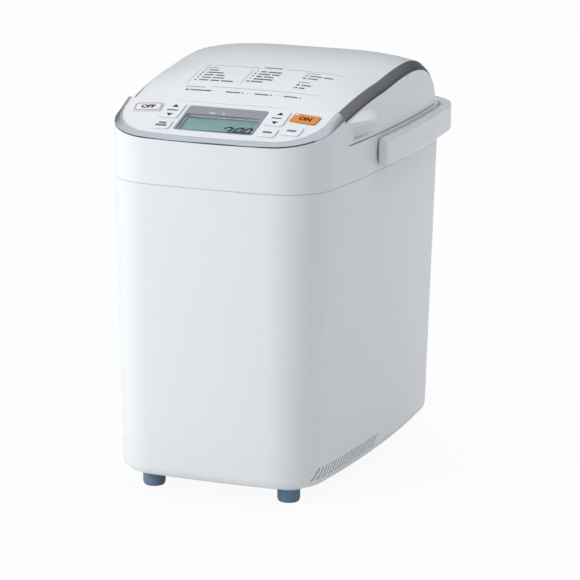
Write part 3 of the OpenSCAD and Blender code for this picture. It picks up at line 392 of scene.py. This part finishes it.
# ---- Display. A grey-green liquid crystal lies in its holder under the panel.
# A thin clear window covers it, with a faint gloss.
display_green = finish("lcd_green", (0.122, 0.212, 0.230), 0.4, drift=0.02, grain=400, relief=0.0, shine=0.1)
dress(display_green, "lcd_module")
window_sheet = bpy.data.materials.new("clear_window")
tree = new_tree(window_sheet)
clear = add_node(tree, "ShaderNodeBsdfPrincipled", {}, {
    "Base Color": (0.97, 0.99, 0.98, 1), "Roughness": 0.0, "Transmission Weight": 1.0,
    "IOR": 1.02, "Coat Weight": 0.05, "Coat Roughness": 0.04,
})
put_out(tree, "ShaderNodeOutputMaterial", clear)
dress(window_sheet, "lcd_lens")

# ---- Printing on the keys. Thin ink lies on each cap, dark on the white keys and brown on the orange one.
# The words of such a machine are bare rows of blocks here: only numbers, ON and OFF are real characters.
ink_dark = finish("ink_dark", (0.008, 0.009, 0.014), 0.6, grain=1500, relief=0.0, shine=0.12)
ink_red = finish("ink_red", (0.42, 0.045, 0.10), 0.5, grain=1500, relief=0.0, shine=0.3)
ink_white = finish("ink_white", (0.80, 0.82, 0.85), 0.3, grain=1500, relief=0.0)
ink_brown = finish("ink_brown", (0.05, 0.016, 0.008), 0.6, grain=1500, relief=0.0, shine=0.12)
key_joint = next(joint for joint in frame["joints"] if joint["name"] == "cancel_key_press")
into_panel = Vector(key_joint["axis"]).normalized()
panel_up = Vector((1, 0, 0)).cross(into_panel).normalized()
if panel_up.z < 0:
    panel_up = -panel_up
panel_middle = Vector((0, -0.1419, 0.3208))
stand_off = 0.02


def on_panel(u, v, turn=0.0):
    """The place of a mark on the sloping panel, in millimetres from the display's middle."""
    turning = Matrix.Rotation(radians(turn), 3, -into_panel)
    place = panel_middle + Vector((u * mm, 0, 0)) + panel_up * (v * mm) - into_panel * stand_off
    return place, turning @ Vector((1, 0, 0)), turning @ panel_up, into_panel


def bar(bm, u, v, width, height, shear=0.0):
    """One flat block of ink, cut along its length so that it follows a curve."""
    cut = 6
    along, upright = max(1, int(width / cut)), max(1, int(height / cut))
    made = bmesh.ops.create_grid(bm, x_segments=along, y_segments=upright, size=0.5)["verts"]
    for corner in made:
        slant = corner.co.y * height * shear
        corner.co = Vector((u + corner.co.x * width + slant, v + corner.co.y * height, 0))


def blocks(bm, u, v, lengths, height=2.3, pitch=1.75):
    """A row of blocks in place of words: each length is a word's count of blocks."""
    widths = (0.72, 0.6, 0.8, 0.66)
    for count in lengths:
        for index in range(count):
            bar(bm, u + pitch * 0.38, v, pitch * widths[(index * 3 + count) % 4], height)
            u += pitch
        u += pitch * 0.9


def characters(bm, words, u, v, height):
    """Real characters, as a mesh from Blender's own plain font."""
    data = bpy.data.curves.new("characters", "FONT")
    data.body, data.align_x, data.align_y, data.size = words, "CENTER", "CENTER", height * 1.38
    data.offset = height * 0.065
    holder = bpy.data.objects.new("characters", data)
    bpy.context.scene.collection.objects.link(holder)
    bpy.context.view_layer.update()
    flat = bpy.data.meshes.new_from_object(holder)
    bpy.data.objects.remove(holder)
    start = len(bm.verts)
    bm.from_mesh(flat)
    bm.verts.ensure_lookup_table()
    for corner in bm.verts[start:]:
        corner.co = Vector((corner.co.x + u, corner.co.y + v, 0))


def lay(name, bm, place, surface, body, material, lift=0.05):
    """Drops a flat drawing on the surface of a node and gives it the thickness of ink."""
    origin, across, up, down = place
    target = bmesh.new()
    target.from_mesh(nodes[surface].data)
    surface_tree = BVHTree.FromBMesh(target)
    for corner in bm.verts:
        above = origin + across * (corner.co.x * mm) + up * (corner.co.y * mm)
        hit = surface_tree.ray_cast(above, down)[0]
        if hit is None:
            raise ValueError(name + " has a point that lies off " + surface)
        corner.co = hit - down * (lift * mm)
    target.free()
    bmesh.ops.recalc_face_normals(bm, faces=bm.faces)
    for face in bm.faces:
        if face.normal.dot(down) > 0:
            face.normal_flip()
    mesh = bpy.data.meshes.new(name)
    bm.to_mesh(mesh)
    bm.free()
    mesh.materials.append(material)
    thick = add_piece(name, mesh, body).modifiers.new("thick", "SOLIDIFY")
    thick.thickness, thick.offset = 0.04 * mm, -1


# The off key has a red outline and the on key a small lamp; both carry their one word.
key_turn = 8.3
off_key, on_key = on_panel(-70.6, 12.3, key_turn), on_panel(70.6, 12.3, -key_turn)
outline_wide, outline_tall, outline_round, outline_thick = 22.8, 11.8, 2.2, 0.8
bm = bmesh.new()
outline = bmesh.ops.create_grid(bm, x_segments=1, y_segments=1, size=0.5)["verts"]
for corner in outline:
    corner.co = Vector((corner.co.x * outline_wide, corner.co.y * outline_tall, 0))
bmesh.ops.bevel(
    bm, geom=outline, offset=outline_round, segments=6, profile=0.5, affect="VERTICES", material=-1,
)
bmesh.ops.inset_region(
    bm, faces=bm.faces[:], thickness=outline_thick, use_boundary=True, use_even_offset=True,
)
inner = max(bm.faces, key=lambda face: face.calc_area())
bmesh.ops.delete(bm, geom=[inner], context="FACES")
lay("off_outline", bm, off_key, "cancel_key", "cancel_key", ink_red)
bm = bmesh.new()
characters(bm, "OFF", 0, 0, 5.0)
lay("off_word", bm, off_key, "cancel_key", "cancel_key", ink_dark)
bm = bmesh.new()
characters(bm, "ON", 0.6, -0.6, 5.2)
lay("on_word", bm, on_key, "start_key", "start_key", ink_brown)
bm = bmesh.new()
bmesh.ops.create_circle(bm, cap_ends=True, segments=20, radius=1.15)
bmesh.ops.translate(bm, vec=(-9.2, 4.1, 0), verts=bm.verts)
lay("on_lamp", bm, on_key, "start_key", "start_key", ink_white, 0.12)

# The two rockers have an arrow at each end, and a row of blocks between them.
arrow_half_wide, arrow_tall, arrow_out = 3.5, 2.8, 6.7
for rocker, side, count in (("course_rocker", -1, 7), ("time_rocker", 1, 6)):
    bm = bmesh.new()
    for end in (-1, 1):
        arrow = bmesh.ops.create_circle(bm, cap_ends=True, segments=3, radius=1)["verts"]
        for corner in arrow:
            across, out = corner.co.x * arrow_half_wide, arrow_out + corner.co.y * arrow_tall
            corner.co = Vector((across, end * out, 0))
    blocks(bm, -5.0, 0.2, (count,), 2.1, 1.45)
    lay(rocker + "_print", bm, on_panel(side * 47.2, 9.5), rocker, rocker, ink_dark)

# Each small key has its word in one row or two, every row given as blocks, start and height.
for key, place, rows, pitch in (
    ("crust_key", (-47.2, -13.6, 0), ((5, -3.6, 2.0), (7, -5.2, -1.9)), 1.45),
    ("timer_key", (47.2, -13.6, 0), ((5, -4.4, 0),), 1.7),
    ("cycle_key", (66.8, -8.3, -3), ((5, -4.4, 0),), 1.7),
):
    bm = bmesh.new()
    for count, start, height in rows:
        blocks(bm, start, height, (count,), 3.0, pitch)
    lay(key + "_print", bm, on_panel(*place), key, key, ink_dark)

# ---- Figures of the display. The crystal darkens in slanted bars, which show a time.
# The frame above them has two pale printed ticks.
bar_places = {
    "a": (0, 1, True), "d": (0, -1, True), "b": (1, 0.5, False),
    "c": (1, -0.5, False), "e": (-1, -0.5, False), "f": (-1, 0.5, False),
}
bars_on = {"0": "abcdef", "7": "fabc"}
time_v, tall, wide, thick_bar, lean = -8.9, 7.6, 5.2, 2.1, 0.26
bm = bmesh.new()
for figure, u in (("7", 9.4), ("0", 19.4), ("0", 27.4)):
    for name in bars_on[figure]:
        across, up, flat = bar_places[name]
        height = up * tall / 2
        start = u + across * wide / 2 + height * lean
        if flat:
            bar(bm, start, time_v + height, wide - thick_bar * 0.55, thick_bar)
        else:
            bar(bm, start, time_v + height, thick_bar, tall / 2 - thick_bar * 0.3, lean)
colon_u, dot = 14.1, 1.5
for height in (-dot, dot):
    bar(bm, colon_u + height * lean, time_v + height, dot, dot)
segment_black = finish("segment_black", (0.004, 0.005, 0.006), 0.6, grain=900, relief=0.0, shine=0.0)
lay("display_time", bm, on_panel(0, 0), "lcd_module", "housing", segment_black, 0.08)
bm = bmesh.new()
bar(bm, -11.5, 10.4, 5.0, 1.1)
bar(bm, -1.2, 10.4, 1.6, 1.6)
lay("frame_ticks", bm, on_panel(0, 0), "lcd_bezel", "housing", ink_white)

# ---- Course table on the lid. Grey rules and headings part three numbered columns and a row of four below.
# It is pad-printed on the finished cover, so it follows the arch.
ink_pale = finish("ink_pale", (0.20, 0.21, 0.25), 0.5, grain=1500, relief=0.0)
lid_middle = Vector((0, -0.0075, 0.40))
row_step, left_top, centre_top, last_row = 5.6, -46, -42.5, -88.6
right_rows = ((-43.6, "11", (6, 5)), (-49.6, "12", (5,)), (-64.6, "13", (5,)), (-70.4, "14", (3,)))


def on_lid(u, v):
    """The place of a mark on the lid's top, seen from above."""
    return lid_middle + Vector((u * mm, v * mm, 0)), Vector((1, 0, 0)), Vector((0, 1, 0)), Vector((0, 0, -1))


bm = bmesh.new()
for row in range(5):
    characters(bm, str(row + 1), -51.5, left_top - row_step * row, 2.6)
    characters(bm, str(row + 6), -5.0, centre_top - row_step * row, 2.6)
for v, number, words in right_rows:
    characters(bm, number, 40.5, v, 2.6)
characters(bm, "15", -50.5, last_row, 2.6)
for row, words in enumerate(((5,), (9,), (5, 5), (5, 6), (5, 5, 6))):
    blocks(bm, -48.0, left_top - row_step * row, words)
for row, words in enumerate(((3, 7), (6, 4), (3, 5), (10,), (6,))):
    blocks(bm, -1.5, centre_top - row_step * row, words)
for v, number, words in right_rows:
    blocks(bm, 44.0, v, words)
blocks(bm, -2.6, -32.4, (9,), 1.9, 1.9)
blocks(bm, -47.0, last_row, (11,))
for start in (-14.6, 11.4, 37.6):
    blocks(bm, start, -88.4, (8, 1), 1.9, 1.6)
lay("course_numbers", bm, on_lid(0, 0), "lid_cover", "lid", ink_dark, 0.09)

rule = 0.34
bm = bmesh.new()
for u, v, length in ((-31.6, -34.2, 52), (44.6, -33.2, 52), (16.5, -80.6, 99)):
    bar(bm, u, v, length, rule)
for u, v, length in ((-56.2, -59.5, 31), (-9.4, -56.0, 30)):
    bar(bm, u, v, rule, length)
for u in (5.6, 31.8):
    bar(bm, u, -88.4, rule, 3.4, 0.5)
for u, v, count in ((-53.5, -40.4, 7), (38.6, -37.6, 7), (38.6, -58.6, 6), (-53.5, -82.6, 10)):
    blocks(bm, u, v, (count,), 1.5)
lay("course_rules", bm, on_lid(0, 0), "lid_cover", "lid", ink_pale, 0.09)
